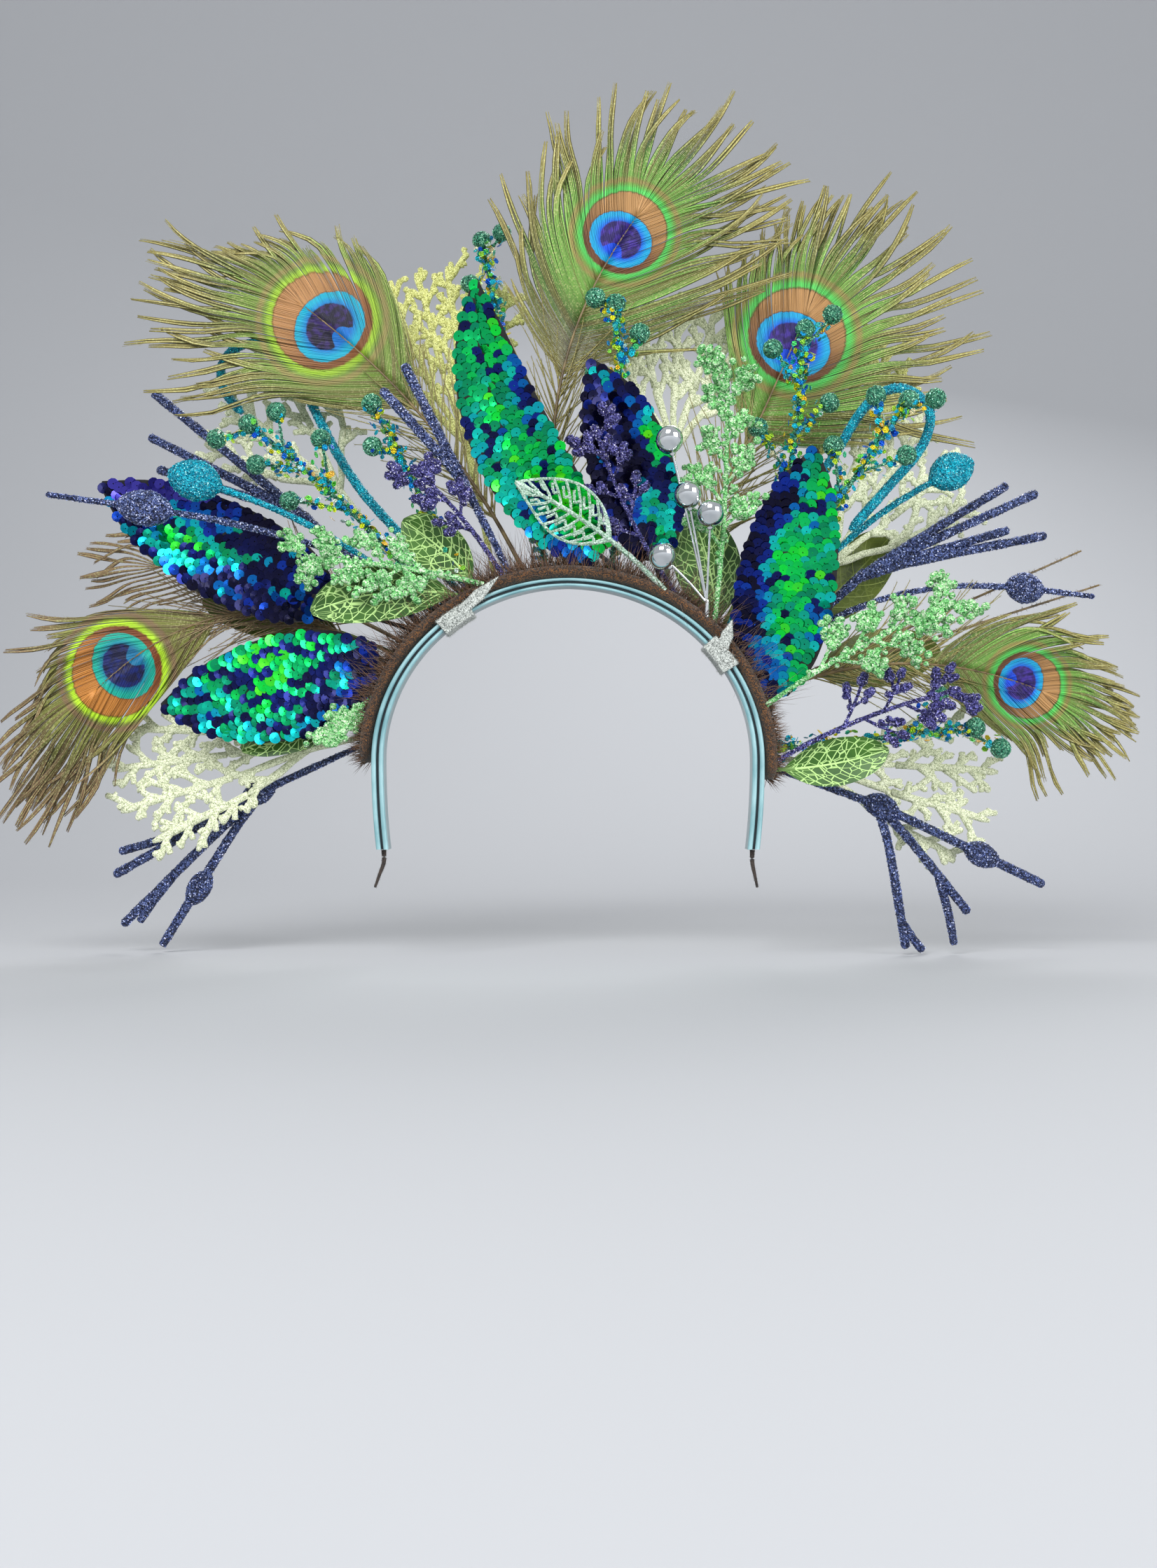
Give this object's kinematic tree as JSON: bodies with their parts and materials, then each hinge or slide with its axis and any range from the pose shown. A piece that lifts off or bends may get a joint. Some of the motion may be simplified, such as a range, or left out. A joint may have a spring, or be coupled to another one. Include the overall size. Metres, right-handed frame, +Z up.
{
  "type": "feather headdress",
  "caption": "Satin headband carrying a wide upright fan of peacock feathers, sequined leaves, glitter sprigs, buds, berries and coral fans on a crescent base",
  "frame": {"origin": "underside of the headband at the middle of the crown, where it sits on the head", "axes": "+Z up, -Y the wearer's front, +X the wearer's left; the band lies in the XZ plane"},
  "size_m": [0.4776, 0.1069, 0.3645],
  "materials": {
    "satin": "ice-blue satin",
    "pad": "brown feather and felt base",
    "felt": "grey felt",
    "tail": "dark brown tape",
    "feather": "iridescent peacock feather",
    "sequin": "overlapping green sequins on black cloth",
    "dark_sequin": "overlapping dark blue sequins on black cloth",
    "veined": "matt green leaf with pale veins",
    "olive": "matt olive leaf",
    "navy": "navy glitter",
    "turquoise": "turquoise glitter",
    "mint": "mint glitter",
    "purple": "purple glitter",
    "berry": "teal berries with confetti glitter",
    "cream": "cream flocking",
    "yellow": "yellowish flocking",
    "silver": "mirror balls on silver wire",
    "quill": "stripped feather quill"
  },
  "bodies": {
    "root": {"headband": "satin", "base_pad": "pad", "felt_wrap_left": "felt", "felt_wrap_right": "felt", "tail_left": "tail", "tail_right": "tail", "feather_top": "feather", "feather_upper_left": "feather", "feather_upper_right": "feather", "feather_left": "feather", "feather_right": "feather", "feather_low_left": "feather", "sequin_leaf_centre": "sequin", "sequin_leaf_right": "sequin", "sequin_leaf_lower_left": "sequin", "sequin_leaf_upper_left": "sequin", "sequin_leaf_dark": "dark_sequin", "veined_leaf_left": "veined", "veined_leaf_upper_left": "veined", "veined_leaf_lower_left": "veined", "veined_leaf_centre": "veined", "veined_leaf_right": "veined", "olive_leaf_left": "olive", "olive_leaf_upper_right": "olive", "olive_leaf_right": "olive", "navy_twig_top_left": "navy", "navy_twig_right": "navy", "navy_twig_lower_right": "navy", "navy_twig_upper_left": "navy", "navy_twig_lower_left": "navy", "navy_bud_left": "navy", "navy_bud_right": "navy", "turquoise_bud_left": "turquoise", "turquoise_bud_right": "turquoise", "turquoise_curl_right": "turquoise", "turquoise_curl_left": "turquoise", "mint_sprig_left": "mint", "mint_sprig_right": "mint", "mint_sprig_centre": "mint", "mint_sprig_lower_left": "mint", "skeleton_leaf": "mint", "purple_sprig_left": "purple", "purple_sprig_centre": "purple", "purple_sprig_right": "purple", "berry_sprig_top_left": "berry", "berry_sprig_top": "berry", "berry_sprig_left": "berry", "berry_sprig_inner_left": "berry", "berry_sprig_right": "berry", "berry_sprig_outer_right": "berry", "berry_sprig_lower_right": "berry", "coral_upper_left": "cream", "coral_top_right": "cream", "coral_right": "cream", "coral_lower_left": "cream", "coral_lower_right": "cream", "coral_top_left": "yellow", "coral_behind_right": "yellow", "silver_pick": "silver", "bare_quill_pair": "quill"}
  },
  "joints": []
}
